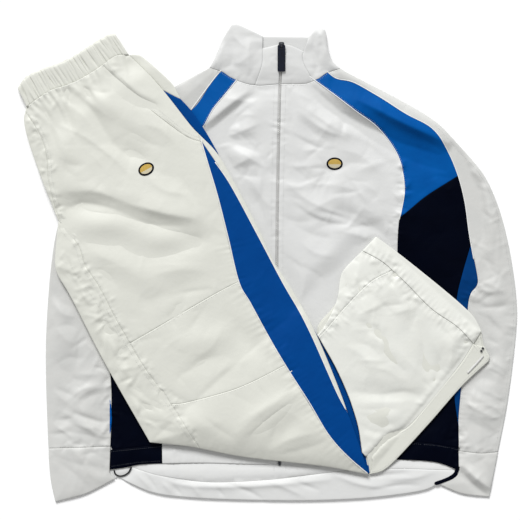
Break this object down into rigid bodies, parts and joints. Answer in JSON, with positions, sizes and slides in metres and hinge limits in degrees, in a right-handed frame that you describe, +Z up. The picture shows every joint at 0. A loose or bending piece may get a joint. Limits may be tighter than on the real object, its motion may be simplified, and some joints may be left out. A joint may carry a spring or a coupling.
{
  "type": "tracksuit",
  "caption": "Flat-laid tracksuit: a zipped stand-collar jacket on its back with side-striped trousers folded lengthwise across it and the lower legs turned under.",
  "frame": {"origin": "on the surface that the set lies on, on the jacket's centre line halfway up its length", "axes": "+X to the jacket wearer's left sleeve, which is on the right as the set is seen from above; +Y to the collar; +Z up from the surface"},
  "size_m": [0.7739, 0.7406, 0.0267],
  "materials": {
    "jacket_cloth": "cool white polyester taffeta with a soft sheen",
    "trouser_cloth": "warm white polyester taffeta with a soft sheen",
    "blue_cloth": "royal blue polyester taffeta",
    "navy_cloth": "near-black navy knit, matt",
    "navy_rubber": "moulded pull tab, satin",
    "dark_metal": "dark zip hardware",
    "white_zip": "white nylon coil and tape",
    "black_elastic": "round elastic cord",
    "navy_thread": "embroidery, dense satin stitch",
    "gold_thread": "embroidery, dense satin stitch"
  },
  "bodies": {
    "suit": {"ankle_hem": "trouser_cloth", "ankle_placket": "trouser_cloth", "ankle_zip": "white_zip", "badge_chest_field": "gold_thread", "badge_chest_rim": "navy_thread", "badge_thigh_field": "gold_thread", "badge_thigh_rim": "navy_thread", "collar_back": "jacket_cloth", "collar_front_left": "jacket_cloth", "collar_front_right": "jacket_cloth", "collar_side_left": "jacket_cloth", "collar_side_right": "jacket_cloth", "cuff_left": "jacket_cloth", "cuff_right": "jacket_cloth", "front_left": "jacket_cloth", "front_right": "jacket_cloth", "hem_cord": "black_elastic", "hem_navy_left": "navy_cloth", "hem_navy_right": "navy_cloth", "hem_white_left": "jacket_cloth", "hem_white_right": "jacket_cloth", "hidden_layers": "trouser_cloth", "hip_pocket": "trouser_cloth", "inseam_strip": "trouser_cloth", "jacket_back": "jacket_cloth", "jacket_back_hem": "jacket_cloth", "leg_knee": "trouser_cloth", "leg_shin": "trouser_cloth", "leg_thigh": "trouser_cloth", "lower_leg_back": "trouser_cloth", "lower_leg_front": "trouser_cloth", "raglan_band_left": "blue_cloth", "raglan_band_right": "blue_cloth", "seat_strip": "trouser_cloth", "side_back_strip": "trouser_cloth", "side_panel_left": "navy_cloth", "side_panel_right": "navy_cloth", "side_stripe": "blue_cloth", "sleeve_back_left": "jacket_cloth", "sleeve_back_right": "jacket_cloth", "sleeve_front_left": "jacket_cloth", "sleeve_front_right": "jacket_cloth", "under_hip_stripe": "blue_cloth", "under_leg_hip": "trouser_cloth", "under_leg_stripe": "blue_cloth", "under_sleeve_right": "blue_cloth", "waistband": "trouser_cloth", "zip_box": "dark_metal", "zip_slider": "dark_metal", "zip_tape": "white_zip"},
    "pull": {"zip_pull": "navy_rubber"}
  },
  "joints": [
    {"name": "zip_pull_hinge", "type": "hinge", "parent": "suit", "child": "pull", "pos_m": [0.0076, 0.336, 0.00864], "axis": [-1, 0, 0], "range_deg": [0, 165]}
  ]
}
